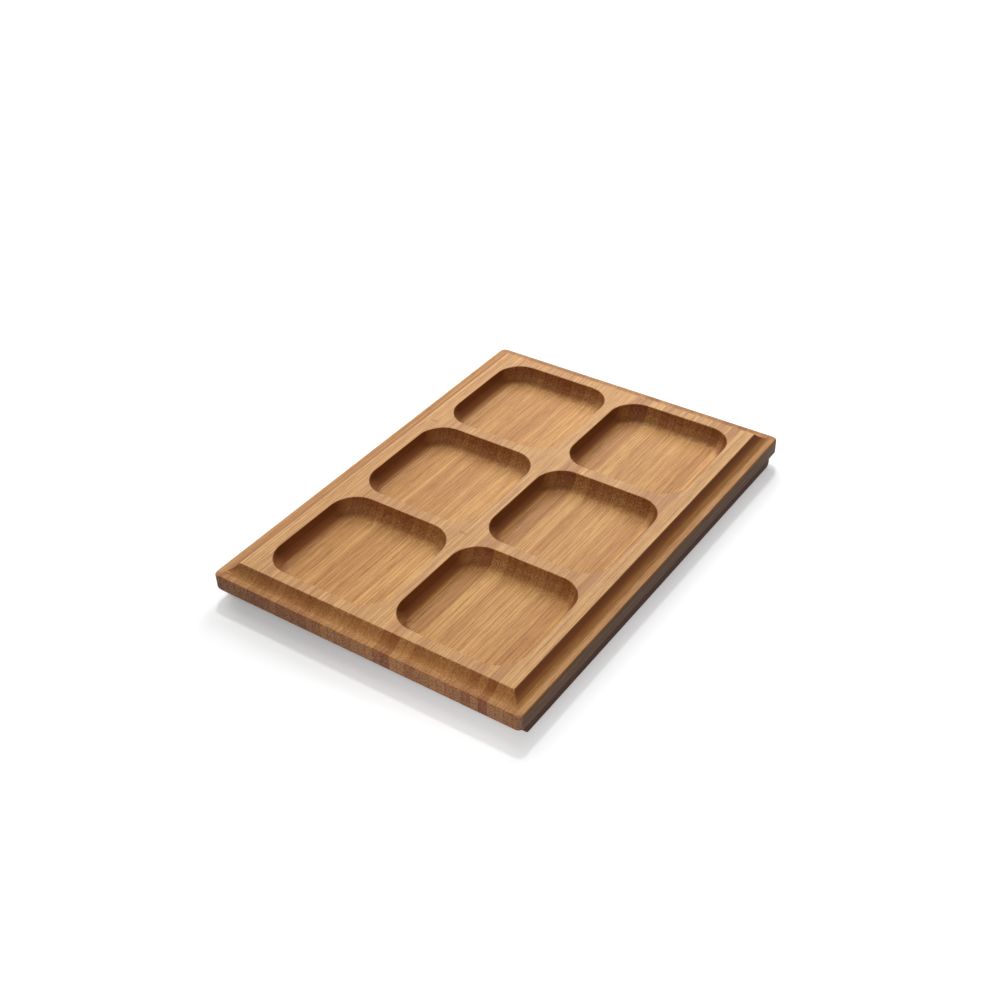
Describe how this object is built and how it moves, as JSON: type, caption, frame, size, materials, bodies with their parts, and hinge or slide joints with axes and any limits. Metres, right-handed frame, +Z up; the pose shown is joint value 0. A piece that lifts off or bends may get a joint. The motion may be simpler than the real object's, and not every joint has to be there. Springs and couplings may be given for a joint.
{
  "type": "serving tray",
  "caption": "Flat rectangular bamboo serving tray with a coved rim and square rounded pockets routed into its top for small foods, standing on low runners.",
  "frame": {"origin": "under the centre of the tray, at table level", "axes": "+Y along the laths and the long sides, +X across the tray, +Z up"},
  "size_m": [0.2526, 0.3508, 0.028],
  "materials": {
    "bamboo_pale": "satin oil",
    "bamboo_honey": "satin oil",
    "bamboo_brown": "satin oil",
    "runner_bamboo": "satin oil"
  },
  "bodies": {
    "root": {"lath_01": "bamboo_honey", "lath_02": "bamboo_honey", "lath_03": "bamboo_honey", "lath_04": "bamboo_honey", "lath_05": "bamboo_honey", "lath_06": "bamboo_honey", "lath_07": "bamboo_honey", "lath_08": "bamboo_honey", "lath_09": "bamboo_pale", "lath_10": "bamboo_brown", "lath_11": "bamboo_pale", "lath_12": "bamboo_brown", "lath_13": "bamboo_brown", "lath_14": "bamboo_honey", "lath_15": "bamboo_honey", "lath_16": "bamboo_pale", "lath_17": "bamboo_pale", "lath_18": "bamboo_honey", "lath_19": "bamboo_honey", "lath_20": "bamboo_honey", "lath_21": "bamboo_honey", "lath_22": "bamboo_honey", "lath_23": "bamboo_brown", "lath_24": "bamboo_brown", "lath_25": "bamboo_pale", "lath_26": "bamboo_pale", "lath_27": "bamboo_honey", "lath_28": "bamboo_honey", "lath_29": "bamboo_honey", "lath_30": "bamboo_honey", "lath_31": "bamboo_honey", "lath_32": "bamboo_honey", "lath_33": "bamboo_honey", "lath_34": "bamboo_brown", "lath_35": "bamboo_pale", "lath_36": "bamboo_brown", "lath_37": "bamboo_pale", "lath_38": "bamboo_pale", "lath_39": "bamboo_honey", "lath_40": "bamboo_honey", "runner_left": "runner_bamboo", "runner_right": "runner_bamboo"}
  },
  "joints": []
}
